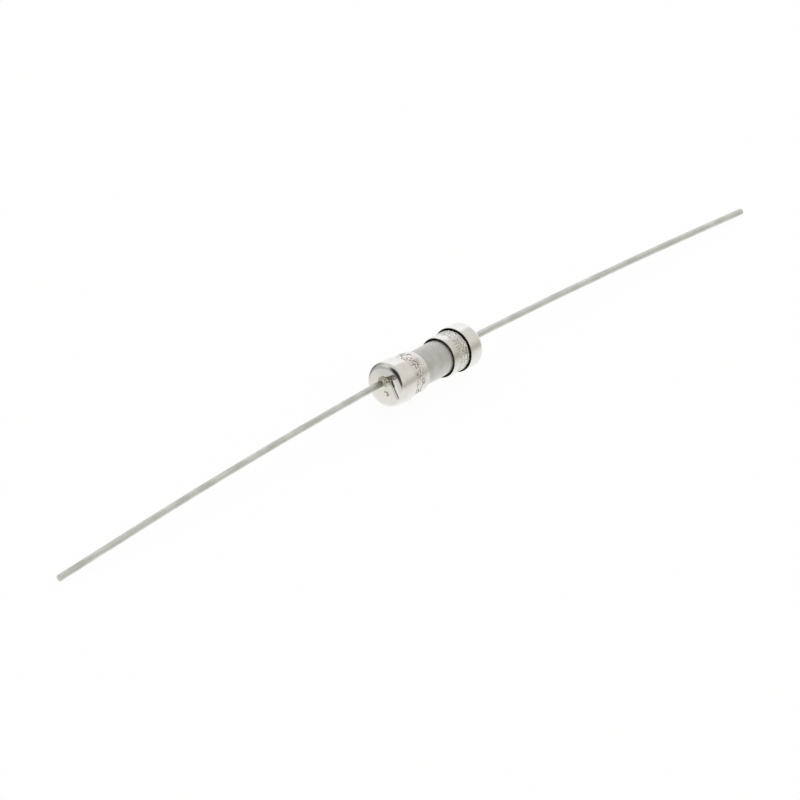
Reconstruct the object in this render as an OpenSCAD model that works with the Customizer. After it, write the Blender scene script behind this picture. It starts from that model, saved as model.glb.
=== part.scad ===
// Axial lead fuse, lying on a table. Millimetres.
// A ceramic tube holds a fuse wire wound on a glass fibre core, soldered into a contact cap
// at each end. Over each contact cap sits a lead cap, with a wire lead welded to its face.
// The fuse lies along X with its middle at the origin and +Z up. It rests on its lead caps,
// and both leads droop until their tips touch the table too.

/* [Body] */
// Length over the two lead caps
body_l = 10.2; // [9:0.1:16]

/* [Ceramic tube] */
// Outer diameter of the tube
tube_d = 2.84; // [2.6:0.02:4]
// Diameter of the bore through the tube
tube_bore_d = 1.7; // [1.2:0.05:2.1]

/* [Contact caps] */
// Length of a contact cap from its closed end to its rim
contact_cap_l = 3.4; // [2.2:0.05:4]
// Wall of a contact cap
contact_wall = 0.2; // [0.1:0.01:0.3]
// Space all round between the tube and a contact cap
tube_gap = 0.02; // [0.01:0.005:0.05]
// Radius inside the closed end of a contact cap
contact_corner_r = 0.1; // [0.06:0.01:0.2]
// Length of the flare inside the mouth of a contact cap
contact_flare_l = 0.6; // [0.1:0.05:0.8]

/* [Lead caps] */
// Length of a lead cap from its closed end to its rim
lead_cap_l = 1.7; // [1:0.05:2]
// Wall of a lead cap
lead_cap_wall = 0.15; // [0.1:0.01:0.3]
// Space all round between a contact cap and the lead cap pressed over it
press_gap = 0.01; // [0.005:0.005:0.03]
// Length of the flare inside the mouth of a lead cap
lead_flare_l = 0.4; // [0.1:0.05:0.6]
// Thickness that the flare leaves at the rim of either cap
lip_t = 0.04; // [0.02:0.005:0.08]

/* [Leads] */
// Diameter of a lead
lead_d = 0.5; // [0.3:0.01:0.8]
// Length of a lead along the wire
lead_l = 38; // [25:0.1:60]
// Height of the left lead's weld above the middle of its cap
left_rise = 0.3; // [0:0.05:0.5]
// Height of the right lead's weld above the middle of its cap
right_rise = 0; // [0:0.05:0.5]
// How far the left lead's weld sits from the middle of its cap, towards +Y
left_aside = 0.15; // [0:0.05:0.5]
// How far the right lead's weld sits from the middle of its cap, towards +Y
right_aside = 0.25; // [0:0.05:0.5]
// How far a lead tilts down just outside its weld, in degrees
root_tilt = 1; // [0.2:0.1:1.4]
// Length of the straight tip
tip_l = 8; // [4:0.5:15]

/* [Welds] */
// Radius of the flat foot of a weld
weld_r = 0.48; // [0.42:0.01:0.7]
// Height of a weld along the lead
weld_h = 0.38; // [0.3:0.01:0.6]
// Thickness at the outer edge of a weld
weld_edge = 0.07; // [0.03:0.01:0.12]
// Thickness of a weld at its top, against the lead
weld_top = 0.03; // [0.02:0.005:0.06]
// Number of lumps round a weld
weld_lumps = 6; // [3:1:9]
// Radius of the largest lump
lump_r = 0.16; // [0.08:0.01:0.2]

/* [Fuse wire] */
// Diameter of the glass fibre core
core_d = 0.6; // [0.4:0.05:0.7]
// Diameter of the fuse wire
fuse_wire_d = 0.12; // [0.06:0.01:0.16]
// Distance from one turn of the fuse wire to the next
turn_pitch = 0.5; // [0.35:0.05:1]
// Least length of bare core between the winding and the solder at each end
bare_core_l = 0.9; // [0.3:0.05:1.5]
// Space between the fuse wire and its core
wind_gap = 0.01; // [0.005:0.005:0.02]

/* [Solder] */
// Depth of the solder at the wall of the tube
solder_l = 0.7; // [0.5:0.05:0.9]
// How far the solder dips in the middle
solder_dip = 0.25; // [0.1:0.05:0.3]

/* [Hidden] */
$fn = 96;

contact_bore_d = tube_d + 2 * tube_gap;
contact_d = contact_bore_d + 2 * contact_wall;
lead_bore_d = contact_d + 2 * press_gap;
lead_cap_d = lead_bore_d + 2 * lead_cap_wall;

// The edge of a cap's rim is rounded over most of its thickness
rim_r = 0.75 * lip_t;

// The closed ends sit inside one another with room at their corners
corner_gap = 0.05;
contact_outer_r = contact_corner_r + contact_wall;
lead_corner_r = contact_outer_r - corner_gap;
tube_chamfer = contact_corner_r + tube_gap;

face_x = body_l / 2;
contact_end_x = face_x - lead_cap_wall;
tube_l = 2 * (contact_end_x - contact_wall);

// The long bend takes what the weld and the straight tip leave of the lead. It is a hair
// thinner than they are and starts and ends just inside them
long_bend_l = lead_l - weld_h - tip_l;
bend_seat_l = 0.1;
bend_step = 0.003;
least_bend = 0.01;
steepest_tilt = 30;
BEND_FN = 2880;

// A weld hollows from its outer edge up to the lead, along a sixth of a circle
weld_foot_point = [weld_r, weld_edge];
weld_top_point = [lead_d / 2 + weld_top, weld_h];
hollow_r = norm(weld_foot_point - weld_top_point);
hollow_middle = (weld_foot_point + weld_top_point) / 2
    + cos(30) * [weld_top_point.y - weld_foot_point.y, weld_foot_point.x - weld_top_point.x];

// Each lump in its edge follows the last by this angle, a little smaller, and stands out of the
// foot by this share of its radius
lump_step = 137.5;
lump_shrink = 0.35;
lump_out = 0.3;

// The core is wound with as many whole turns as there is room for between the two solders
coil_r = core_d / 2 + wind_gap + fuse_wire_d / 2;
turns = floor((tube_l - 2 * (solder_l + bare_core_l)) / turn_pitch);
coil_l = turns * turn_pitch;
WIRE_FN = 24;
RING_FN = 6;
RINGS_PER_TURN = 14;

// Radius of the long bend when the tip is tilted down by this angle
function long_bend_r(tilt) = long_bend_l / ((tilt - root_tilt) * PI / 180);

// How far the underside of the tip then lies below the weld's height
function tip_drop(tilt) =
    long_bend_r(tilt) * (cos(root_tilt) - cos(tilt))
    + tip_l * sin(tilt)
    + lead_d / 2 * cos(tilt);

// The tilt at which the tip drops just this far, by halving the range again and again
function tilt_for(drop, low, high, steps = 40) =
    let (middle = (low + high) / 2)
    steps == 0 ? middle
    : tip_drop(middle) > drop ? tilt_for(drop, low, middle, steps - 1)
    : tilt_for(drop, middle, high, steps - 1);

// A quarter of a disc with its corner at the origin, for the rounded corners of a profile
module quarter_disc(r) {
    intersection() {
        circle(r = r);
        square(r);
    }
}

// A drawn cup on the axis: its closed end at height 0, its flared mouth at height length
module cup(bore_d, wall, length, corner_r, flare_l) {
    bore_r = bore_d / 2;
    outer_r = bore_r + wall;
    end_r = corner_r + wall;
    rotate_extrude() difference() {
        union() {
            translate([0, end_r]) square([outer_r, length - rim_r - end_r]);
            translate([0, end_r]) square([outer_r - rim_r, length - end_r]);
            square([outer_r - end_r, length]);
            translate([outer_r - end_r, end_r]) mirror([0, 1]) quarter_disc(end_r);
            translate([outer_r - rim_r, length - rim_r]) quarter_disc(rim_r);
        }
        translate([0, wall + corner_r]) square([bore_r, length]);
        translate([0, wall]) square([bore_r - corner_r, length]);
        translate([bore_r - corner_r, wall + corner_r]) mirror([0, 1]) quarter_disc(corner_r);
        polygon([
            [0, length - flare_l],
            [bore_r, length - flare_l],
            [outer_r - lip_t, length],
            [0, length],
        ]);
    }
}

// Turns what stands on Z to lie along X, its foot at this place, pointing back to the middle
module closed_end_at(x) {
    translate([x, 0, 0]) rotate([0, -90, 0]) children();
}

module contact_cap() {
    color("#d3d1cb") closed_end_at(contact_end_x)
        cup(contact_bore_d, contact_wall, contact_cap_l, contact_corner_r, contact_flare_l);
}

module lead_cap() {
    color("#dcdad5") closed_end_at(face_x)
        cup(lead_bore_d, lead_cap_wall, lead_cap_l, lead_corner_r, lead_flare_l);
}

module ceramic_tube() {
    color("#b5b3ad") closed_end_at(tube_l / 2) difference() {
        union() {
            translate([0, 0, tube_chamfer]) cylinder(h = tube_l - 2 * tube_chamfer, d = tube_d);
            cylinder(h = tube_chamfer, d1 = tube_d - 2 * tube_chamfer, d2 = tube_d);
            translate([0, 0, tube_l - tube_chamfer])
                cylinder(h = tube_chamfer, d1 = tube_d, d2 = tube_d - 2 * tube_chamfer);
        }
        translate([0, 0, -tube_l / 2]) cylinder(h = 2 * tube_l, d = tube_bore_d);
    }
}

// A straight stretch of wire along X, with what follows carried on at its end
module straight_wire(length) {
    rotate([0, 90, 0]) cylinder(h = length, d = lead_d);
    translate([length, 0, 0]) children();
}

// A stretch of wire that curves down, with what follows carried on at its end
module bent_wire(radius, angle) {
    seat = bend_seat_l / radius * 180 / PI;
    translate([0, 0, -radius]) rotate([90, 0, 0]) rotate([0, 0, 90 - angle - seat])
        rotate_extrude(angle = angle + 2 * seat, $fn = BEND_FN)
        translate([radius, 0]) circle(d = lead_d - 2 * bend_step);
    translate([radius * sin(angle), 0, -radius * (1 - cos(angle))])
        rotate([0, angle, 0]) children();
}

module lead_wire(rise, aside) {
    tip_tilt = tilt_for(lead_cap_d / 2 + rise, root_tilt + least_bend, steepest_tilt);
    color("#b9b8b4") translate([face_x, aside, rise])
        straight_wire(weld_h)
        rotate([0, root_tilt, 0])
        bent_wire(long_bend_r(tip_tilt), tip_tilt - root_tilt)
        straight_wire(tip_l);
}

// The metal pushed out round the lead where it was welded, with lumps in its edge
module weld_bead(rise, aside, turn) {
    color("#8f8d88") translate([face_x, aside, rise]) rotate([0, 90, 0]) difference() {
        union() {
            rotate_extrude() difference() {
                square([weld_r, weld_h]);
                translate(hollow_middle) circle(r = hollow_r);
            }
            for (i = [0 : weld_lumps - 1])
                rotate([0, 0, turn + i * lump_step])
                translate([weld_r - (1 - lump_out) * lump_r, 0, 0])
                sphere(r = lump_r * (1 - lump_shrink * i / weld_lumps));
        }
        translate([0, 0, -weld_h]) cylinder(h = 3 * weld_h, d = lead_d);
        translate([0, 0, -weld_h]) cylinder(h = weld_h, r = 2 * weld_r);
    }
}

// The straight stretch at each end of the fuse wire, which runs through the solder to the cap
module fuse_wire_tail() {
    translate([coil_l / 2, coil_r, 0]) rotate([0, 90, 0])
        cylinder(h = tube_l / 2 - coil_l / 2, d = fuse_wire_d, $fn = WIRE_FN);
}

module end_solder() {
    color("#a9a8a4") difference() {
        closed_end_at(tube_l / 2) rotate_extrude() difference() {
            square([tube_bore_d / 2, solder_l]);
            intersection() {
                dip_r = (pow(tube_bore_d / 2, 2) + pow(solder_dip, 2)) / (2 * solder_dip);
                translate([0, solder_l - solder_dip + dip_r]) circle(r = dip_r);
                square(2 * solder_l);
            }
        }
        rotate([0, 90, 0]) cylinder(h = tube_l, d = core_d);
        fuse_wire_tail();
    }
}

module element_core() {
    color("#e6e0cf") translate([-tube_l / 2, 0, 0]) rotate([0, 90, 0])
        cylinder(h = tube_l, d = core_d);
}

// One ring of points round the fuse wire, at this angle along the winding
function coil_ring(angle) =
    let (
        middle = [coil_l * (angle / (360 * turns) - 0.5), coil_r * cos(angle), coil_r * sin(angle)],
        outward = [0, cos(angle), sin(angle)],
        onward = [turn_pitch / (2 * PI), -coil_r * sin(angle), coil_r * cos(angle)],
        across = cross(onward / norm(onward), outward)
    )
    [for (j = [0 : RING_FN - 1])
        let (a = 360 * j / RING_FN)
        middle + fuse_wire_d / 2 * (cos(a) * outward + sin(a) * across)];

module fuse_wire_coil() {
    rings = turns * RINGS_PER_TURN;
    points = [for (i = [0 : rings]) each coil_ring(360 * i / RINGS_PER_TURN)];
    sides = [for (i = [0 : rings - 1]) for (j = [0 : RING_FN - 1])
        let (k = (j + 1) % RING_FN, a = i * RING_FN, b = a + RING_FN)
        each [[a + j, b + j, b + k], [a + j, b + k, a + k]]];
    first = [for (j = [0 : RING_FN - 1]) j];
    last = [for (j = [RING_FN - 1 : -1 : 0]) rings * RING_FN + j];
    polyhedron(points = points, faces = concat([first], sides, [last]), convexity = 10);
}

module fuse_element() {
    color("#c8c4b8") {
        fuse_wire_coil();
        for (side = [0, 1]) mirror([side, 0, 0]) {
            fuse_wire_tail();
            translate([coil_l / 2, coil_r, 0]) sphere(d = fuse_wire_d, $fn = WIRE_FN);
        }
    }
}

module left() {
    mirror([1, 0, 0]) children();
}

ceramic_tube();
left() contact_cap();  // contact_cap_left
contact_cap();  // contact_cap_right
left() lead_cap();  // lead_cap_left
lead_cap();  // lead_cap_right
left() lead_wire(left_rise, left_aside);  // lead_wire_left
lead_wire(right_rise, right_aside);  // lead_wire_right
left() weld_bead(left_rise, left_aside, 20);  // weld_bead_left
weld_bead(right_rise, right_aside, 110);  // weld_bead_right
left() end_solder();  // end_solder_left
end_solder();  // end_solder_right
element_core();
fuse_element();
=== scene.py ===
# %% [markdown]
# # An axial lead fuse
#
# This small fuse has a ceramic tube with a drawn metal cap on each end, a second cap pressed over
# each of those, and a wire lead welded to each face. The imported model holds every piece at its
# real size. This script gives the pieces the surfaces and the finish that they have in life.
#
# Nearly all of the fuse is bright metal, and bright metal has hardly any colour of its own: it
# shows what stands round it. So three things matter most here: meshes smooth enough to mirror
# cleanly, small marks that break the reflections up, and surroundings worth mirroring.

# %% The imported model
import math

import bmesh
import bpy
from mathutils import Matrix, Vector, noise


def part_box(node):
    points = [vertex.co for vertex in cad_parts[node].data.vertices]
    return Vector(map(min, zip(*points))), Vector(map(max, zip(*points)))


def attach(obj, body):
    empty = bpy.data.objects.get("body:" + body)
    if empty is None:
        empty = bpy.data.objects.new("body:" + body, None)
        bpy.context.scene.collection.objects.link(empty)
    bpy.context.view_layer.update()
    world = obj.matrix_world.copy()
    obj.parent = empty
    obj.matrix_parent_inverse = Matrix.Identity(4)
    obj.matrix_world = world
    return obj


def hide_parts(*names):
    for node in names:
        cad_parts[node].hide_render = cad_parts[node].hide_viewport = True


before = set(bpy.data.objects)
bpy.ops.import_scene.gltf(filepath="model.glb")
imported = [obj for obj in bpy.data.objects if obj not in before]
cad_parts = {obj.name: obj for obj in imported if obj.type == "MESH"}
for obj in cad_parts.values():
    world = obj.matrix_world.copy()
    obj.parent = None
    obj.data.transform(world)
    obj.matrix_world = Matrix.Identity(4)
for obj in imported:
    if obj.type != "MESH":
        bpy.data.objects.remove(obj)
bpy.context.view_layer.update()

print("pieces in the packed model:", ", ".join(sorted(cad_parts)))

# %% [markdown]
# ## Sizes
#
# Everything is drawn in millimetres, because a wire half a millimetre thick is easier to think
# about that way, and each mesh is scaled to metres once it is finished. The places of the caps,
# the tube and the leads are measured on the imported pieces. What can't be measured from outside,
# such as the wall of a cap, is a named size here.

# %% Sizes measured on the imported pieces
MM = 0.001


def measured(node):
    """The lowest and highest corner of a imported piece, in millimetres."""
    low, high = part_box(node)
    return low / MM, high / MM


lead_cap_low, lead_cap_high = measured("lead_cap_right")
contact_cap_low, contact_cap_high = measured("contact_cap_right")
tube_high = measured("ceramic_tube")[1]

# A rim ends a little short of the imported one, and an uneven cap needs a hair of room in its box
lead_rim_back = 0.08
contact_rim_back = 0.04
box_room = 0.004

face_x = lead_cap_high.x
lead_rim_x = lead_cap_low.x + lead_rim_back
lead_cap_r = lead_cap_high.z - box_room
contact_end_x = contact_cap_high.x
contact_rim_x = contact_cap_low.x + contact_rim_back
contact_r = contact_cap_high.z
tube_end_x = tube_high.x
tube_r = tube_high.z
floor_z = lead_cap_low.z
for label, r in (("lead cap", lead_cap_r), ("contact cap", contact_r), ("tube", tube_r)):
    print(f"{label}: {2 * r:.2f} across")

# %% Sizes that the outside doesn't show
lead_cap_wall = 0.15
lead_corner_r = 0.25
lead_flare_l = 0.4
contact_wall = 0.2
contact_corner_r = 0.1
contact_flare_l = 0.6
lip_t = 0.04
rim_r = 0.75 * lip_t
# Where the painted shade inside a cap's mouth begins, this far in from its outside
dark_lip_t = 0.4 * lip_t
contact_narrowing = 0.035
narrowing_l = 0.6
face_dome = 0.025
tube_bore_r = 0.85
tube_chamfer = 0.12
lead_r = 0.25
print(f"walls: {lead_cap_wall} and {contact_wall}, both thinned to {lip_t} at the rim")

# %% [markdown]
# ## Helpers for node trees
#
# Shader trees and geometry trees are built alike: add a node, set its options, and feed its
# inputs with plain values or with the outputs of other nodes. These few helpers keep the trees
# below short enough to read as a recipe.

# %% Adding a node and feeding it
def feed(tree, socket, value):
    """Gives an input a plain value, or joins it to another node's output."""
    if isinstance(value, bpy.types.NodeSocket):
        tree.links.new(value, socket)
    elif socket.type == "RGBA":
        socket.default_value = (*value, 1.0)
    else:
        socket.default_value = value


def add_node(tree, kind, options=None, **inputs):
    """Adds a node. An input's name is written with _ in place of its spaces."""
    made = tree.nodes.new(kind)
    for option, value in (options or {}).items():
        setattr(made, option, value)
    for name, value in inputs.items():
        feed(tree, made.inputs[name.replace("_", " ")], value)
    return made


# %% Sums, ramps and mixes
def calculate(tree, operation, *values):
    """One sum, product, root or the like of up to three values."""
    made = tree.nodes.new("ShaderNodeMath")
    made.operation = operation
    for socket, value in zip(made.inputs, values):
        feed(tree, socket, value)
    return made.outputs[0]


def ramp_between(tree, value, start, end, low=0.0, high=1.0):
    """Goes smoothly from low, at start, to high, at end."""
    made = add_node(tree, "ShaderNodeMapRange", {"interpolation_type": "SMOOTHSTEP"})
    for socket, number in zip(made.inputs, (value, start, end, low, high)):
        feed(tree, socket, number)
    return made.outputs[0]


def mix_colours(tree, share, first, second):
    """Goes from the first colour to the second as the share goes from 0 to 1."""
    made = add_node(tree, "ShaderNodeMix", {"data_type": "RGBA"})
    feed(tree, made.inputs["Factor"], share)
    feed(tree, made.inputs[6], first)
    feed(tree, made.inputs[7], second)
    return made.outputs[2]


# %% Starting a tree
def new_tree(name, kind, inputs, outputs):
    """An empty tree with named inputs and outputs, and its two end nodes."""
    tree = bpy.data.node_groups.new(name, f"{kind}NodeTree")

    def add_socket(direction, label, socket_kind):
        return tree.interface.new_socket(label, in_out=direction,
                                         socket_type=f"NodeSocket{socket_kind}")

    for label, socket_kind, value in inputs:
        socket = add_socket("INPUT", label, socket_kind)
        if value is not None:
            socket.default_value = value
    for label, socket_kind in outputs:
        add_socket("OUTPUT", label, socket_kind)
    print(f"tree {name}, fed with {', '.join(label for label, _, _ in inputs)}")
    return tree, tree.nodes.new("NodeGroupInput").outputs, tree.nodes.new("NodeGroupOutput").inputs


# %% [markdown]
# ## The effects that the finishes are made of
#
# Most of these effects turn up in more than one finish, so each is a shader node group, built
# once and fed with the values of each finish:
#
# - **Grain** gives fine streaks or specks, which vary the roughness and make a shallow relief.
# - **Tarnish** lets one colour drift into another in soft blotches.
# - **Inside a cap** finds the inside of a cap's mouth, painted dark: painted shade of its gap.
# - **Near a weld** finds the metal round a weld that its heat has tinted.
# - **Near a cap's mouth** finds the ring of tube beside a cap, painted dark as painted shade.
#
# All of them read Object coordinates, so a pattern stays on its piece from every side.

# %% Grain
grain, given, result = new_tree(
    "Grain", "Shader",
    [("Vector", "Vector", None), ("Fineness", "Float", 4000.0),
     ("Stretch", "Vector", (1.0, 1.0, 1.0)), ("Detail", "Float", 3.0)],
    [("Grain", "Float")])
stretched = add_node(grain, "ShaderNodeVectorMath", {"operation": "MULTIPLY"})
feed(grain, stretched.inputs[0], given["Vector"])
feed(grain, stretched.inputs[1], given["Stretch"])
specks = add_node(grain, "ShaderNodeTexNoise", Vector=stretched.outputs[0],
                  Scale=given["Fineness"], Detail=given["Detail"], Roughness=0.6)
feed(grain, result["Grain"], ramp_between(grain, specks.outputs["Fac"], start=0.3, end=0.7))

# %% Tarnish
tarnish, given, result = new_tree(
    "Tarnish", "Shader",
    [("Vector", "Vector", None), ("Clean", "Color", (0.7, 0.7, 0.7, 1.0)),
     ("Tarnished", "Color", (0.5, 0.5, 0.5, 1.0)), ("Blotches", "Float", 600.0),
     ("Amount", "Float", 0.5)],
    [("Color", "Color")])
blotches = add_node(tarnish, "ShaderNodeTexNoise", Vector=given["Vector"],
                    Scale=given["Blotches"], Detail=4.0, Roughness=0.55)
share = ramp_between(tarnish, blotches.outputs["Fac"], start=0.35, end=0.7)
share = calculate(tarnish, "MULTIPLY", share, given["Amount"])
feed(tarnish, result["Color"], mix_colours(tarnish, share, given["Clean"], given["Tarnished"]))

# %% Distances along the axis and out from it
def distance_along_and_out(tree, vector):
    """How far a point is from the middle of the fuse along its axis, and out from the axis."""
    parts = add_node(tree, "ShaderNodeSeparateXYZ", Vector=vector).outputs
    along = calculate(tree, "ABSOLUTE", parts["X"])
    flat = add_node(tree, "ShaderNodeCombineXYZ", Y=parts["Y"], Z=parts["Z"])
    out = add_node(tree, "ShaderNodeVectorMath", {"operation": "LENGTH"}, Vector=flat.outputs[0])
    return along, out.outputs["Value"]


# %% Inside a cap
edge_blur = 0.00002
rim_blur = 0.00001

# The mask of a painted shade: the inside of a cap's mouth is painted dark for its deep gap
inside_cap_shade, given, result = new_tree(
    "Inside a cap", "Shader",
    [("Vector", "Vector", None), ("Mouth Radius", "Float", 0.0016),
     ("Mouth", "Float", 0.0015), ("End", "Float", 0.0048)],
    [("Mask", "Float")])
along, out = distance_along_and_out(inside_cap_shade, given["Vector"])
edge = calculate(inside_cap_shade, "SUBTRACT", given["Mouth Radius"], edge_blur)
within = ramp_between(inside_cap_shade, out, given["Mouth Radius"], edge)
before_mouth = calculate(inside_cap_shade, "SUBTRACT", given["Mouth"], rim_blur)
past_mouth = ramp_between(inside_cap_shade, along, before_mouth, given["Mouth"])
before_end = calculate(inside_cap_shade, "LESS_THAN", along, given["End"])
mask = calculate(inside_cap_shade, "MULTIPLY", calculate(inside_cap_shade, "MULTIPLY", within, past_mouth),
                 before_end)
feed(inside_cap_shade, result["Mask"], mask)

# %% Near a weld
near_weld, given, result = new_tree(
    "Near a weld", "Shader",
    [("Vector", "Vector", None), ("Weld", "Float", 0.005), ("Reach", "Float", 0.001)],
    [("Mask", "Float")])
along, out = distance_along_and_out(near_weld, given["Vector"])
along = calculate(near_weld, "SUBTRACT", along, given["Weld"])
squares = calculate(near_weld, "MULTIPLY_ADD", along, along,
                    calculate(near_weld, "MULTIPLY", out, out))
away = calculate(near_weld, "SQRT", squares)
feed(near_weld, result["Mask"], ramp_between(near_weld, away, given["Reach"], 0.0))

# %% Near a cap's mouth
# The mask of a painted shade on the tube, darkest where the tube goes into a cap
tube_shade_by_cap, given, result = new_tree(
    "Near a cap's mouth", "Shader",
    [("Vector", "Vector", None), ("Mouth", "Float", 0.0015), ("Reach", "Float", 0.0004)],
    [("Mask", "Float")])
along, out = distance_along_and_out(tube_shade_by_cap, given["Vector"])
start = calculate(tube_shade_by_cap, "SUBTRACT", given["Mouth"], given["Reach"])
feed(tube_shade_by_cap, result["Mask"], ramp_between(tube_shade_by_cap, along, start, given["Mouth"]))

# %% [markdown]
# ## The finishes
#
# A finish starts from a Principled BSDF. What is the same all over the piece, such as how
# metallic it is, is set on the shader itself. What changes over the surface, such as its colour,
# its roughness and its relief, is fed from textures. A painted image would serve too, but these
# textures need no unwrapping, and stay sharp however near one comes.

# %% Helpers for materials
def place_group(tree, group, **inputs):
    """Puts a shader group into a material and feeds its inputs."""
    made = tree.nodes.new("ShaderNodeGroup")
    made.node_tree = group
    for name, value in inputs.items():
        feed(tree, made.inputs[name.replace("_", " ")], value)
    return made.outputs[0]


def new_material(name, metallic, **shader_values):
    """A material with its tree, its shader and the piece's own coordinates."""
    material = bpy.data.materials.new(name)
    material.use_nodes = True
    tree = material.node_tree
    shader = tree.nodes["Principled BSDF"]
    shader.inputs["Metallic"].default_value = metallic
    for label, value in shader_values.items():
        shader.inputs[label.replace("_", " ")].default_value = value
    place = tree.nodes.new("ShaderNodeTexCoord").outputs["Object"]
    print("finish:", name)
    return material, tree, shader, place


def finish(tree, shader, colour, marks, rough, depth, rougher=()):
    """Feeds a shader with its colour and its fine marks, which take the roughness from one value
    to another and make a relief, in metres. rougher holds masks and how much each adds."""
    feed(tree, shader.inputs["Base Color"], colour)
    roughness = ramp_between(tree, marks, 0.0, 1.0, *rough)
    for mask, more in rougher:
        roughness = calculate(tree, "ADD", roughness, calculate(tree, "MULTIPLY", mask, more))
    feed(tree, shader.inputs["Roughness"], roughness)
    bump = add_node(tree, "ShaderNodeBump", Height=marks, Distance=depth, Strength=1.0)
    feed(tree, shader.inputs["Normal"], bump.outputs["Normal"])


# %% [markdown]
# ### Nickel
#
# The caps are brass with a bright nickel plating, a little warmer than chrome. The plating has
# fine drawing marks round the cap, a few cloudy patches, and dirt in the marks pressed into it.
# Those marks come with the mesh, as an attribute that says how dirty each point is. The clouds
# are pinker at the left-hand end, where a little copper from the brass has come through, and turn
# to olive towards the right-hand end. The heat of the weld leaves a faint straw tint round it.

# %% Nickel
heat_tint = (0.82, 0.815, 0.7)
old_dirt = (0.07, 0.065, 0.055)
# Painted shade: the colour painted inside a cap's mouth, for the shade of its deep gap
painted_gap_shade = (0.16, 0.16, 0.145)


def nickel(name, clean, pink, olive, roughness, mouth_r, mouth_x, end_x):
    """Plating for a cap with its mouth at mouth_x, this far out, and its floor at end_x."""
    material, tree, shader, place = new_material(name, 1.0)
    along = add_node(tree, "ShaderNodeSeparateXYZ", Vector=place).outputs["X"]
    olive_share = ramp_between(tree, along, start=-0.002, end=0.002)
    clouds = mix_colours(tree, olive_share, pink, olive)
    colour = place_group(tree, tarnish, Vector=place, Clean=clean, Tarnished=clouds,
                         Blotches=700.0, Amount=0.9)
    heat = place_group(tree, near_weld, Vector=place, Weld=face_x * MM, Reach=0.0018)
    colour = mix_colours(tree, calculate(tree, "MULTIPLY", heat, 0.6), colour, heat_tint)
    pressed = add_node(tree, "ShaderNodeAttribute", {"attribute_name": "pressed"}).outputs["Fac"]
    dirt = ramp_between(tree, pressed, start=0.05, end=1.0, high=0.85)
    colour = mix_colours(tree, dirt, colour, old_dirt)
    # Painted shade: the inside of the mouth is painted dark, for the gap round what it holds
    mouth = place_group(tree, inside_cap_shade, Vector=place, Mouth_Radius=mouth_r * MM,
                        Mouth=mouth_x * MM, End=end_x * MM)
    colour = mix_colours(tree, mouth, colour, painted_gap_shade)
    streaks = place_group(tree, grain, Vector=place, Fineness=2600.0, Stretch=(6.0, 1.0, 1.0))
    finish(tree, shader, colour, streaks, rough=(roughness, 1.5 * roughness), depth=0.0000012,
           rougher=((dirt, 0.3), (mouth, 0.5)))
    return material


# %% The plating of each kind of cap
lead_nickel = nickel("lead cap nickel", clean=(0.81, 0.80, 0.775),
                     pink=(0.76, 0.73, 0.70), olive=(0.74, 0.73, 0.69),
                     roughness=0.1, mouth_r=lead_cap_r - dark_lip_t, mouth_x=lead_rim_x,
                     end_x=face_x - lead_corner_r - lead_cap_wall)
contact_nickel = nickel("contact cap nickel", clean=(0.79, 0.78, 0.75),
                        pink=(0.73, 0.65, 0.62), olive=(0.64, 0.62, 0.56),
                        roughness=0.14, mouth_r=contact_r - contact_narrowing - dark_lip_t,
                        mouth_x=contact_rim_x,
                        end_x=contact_end_x - contact_corner_r - contact_wall)

# %% [markdown]
# ### Ceramic, wire and weld
#
# The tube is fired, unglazed ceramic: a satin grey with faint clouds in it. The leads are copper
# drawn to size and tinned, so their marks run along them, and near the weld its heat has browned
# them. The weld was molten for a moment: it is rough, and mottled from pale metal to brown. All
# of them come from the same two groups, Tarnish for the colour and Grain for the rest.

# %% Ceramic
shade_beside_cap = 0.1
ceramic, tree, shader, place = new_material("fired ceramic", 0.0, IOR=1.6, Coat_Weight=0.8,
                                            Coat_Roughness=0.2)
colour = place_group(tree, tarnish, Vector=place, Clean=(0.63, 0.625, 0.6),
                     Tarnished=(0.49, 0.485, 0.465), Blotches=1200.0, Amount=0.8)
# Painted shade: the tube darkens towards and into the mouth of each contact cap
mouth = place_group(tree, tube_shade_by_cap, Vector=place,
                    Mouth=(contact_rim_x + shade_beside_cap) * MM, Reach=0.0004)
colour = mix_colours(tree, mouth, colour, (0.14, 0.14, 0.13))
specks = place_group(tree, grain, Vector=place, Fineness=9000.0, Detail=2.0)
finish(tree, shader, colour, specks, rough=(0.33, 0.45), depth=0.000002)

# %% Tinned wire
line_shade = (0.45, 0.45, 0.435)
heat_brown = (0.25, 0.242, 0.165)
tinned, tree, shader, place = new_material("tinned wire", 1.0)
heat = place_group(tree, near_weld, Vector=place, Weld=face_x * MM, Reach=0.0019)
colour = place_group(tree, tarnish, Vector=place, Clean=(0.75, 0.75, 0.735),
                     Tarnished=(0.58, 0.58, 0.565), Blotches=500.0, Amount=0.8)
lines = place_group(tree, grain, Vector=place, Fineness=9000.0, Stretch=(0.03, 1.0, 1.0))
for mask, strength, shade in ((lines, 0.35, line_shade), (heat, 0.85, heat_brown)):
    colour = mix_colours(tree, calculate(tree, "MULTIPLY", mask, strength), colour, shade)
finish(tree, shader, colour, lines, rough=(0.4, 0.52), depth=0.000004)

# %% Weld metal
def mottled(name, metallic, clean, tarnished, blotches, amount, rough, depth, fineness,
            stretch=(1.0, 1.0, 1.0), **shader_values):
    """A finish that drifts between two colours, its grain in its roughness and its relief."""
    material, tree, shader, place = new_material(name, metallic, **shader_values)
    colour = place_group(tree, tarnish, Vector=place, Clean=clean, Tarnished=tarnished,
                         Blotches=blotches, Amount=amount)
    specks = place_group(tree, grain, Vector=place, Fineness=fineness, Stretch=stretch)
    finish(tree, shader, colour, specks, rough, depth)
    return material


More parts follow.
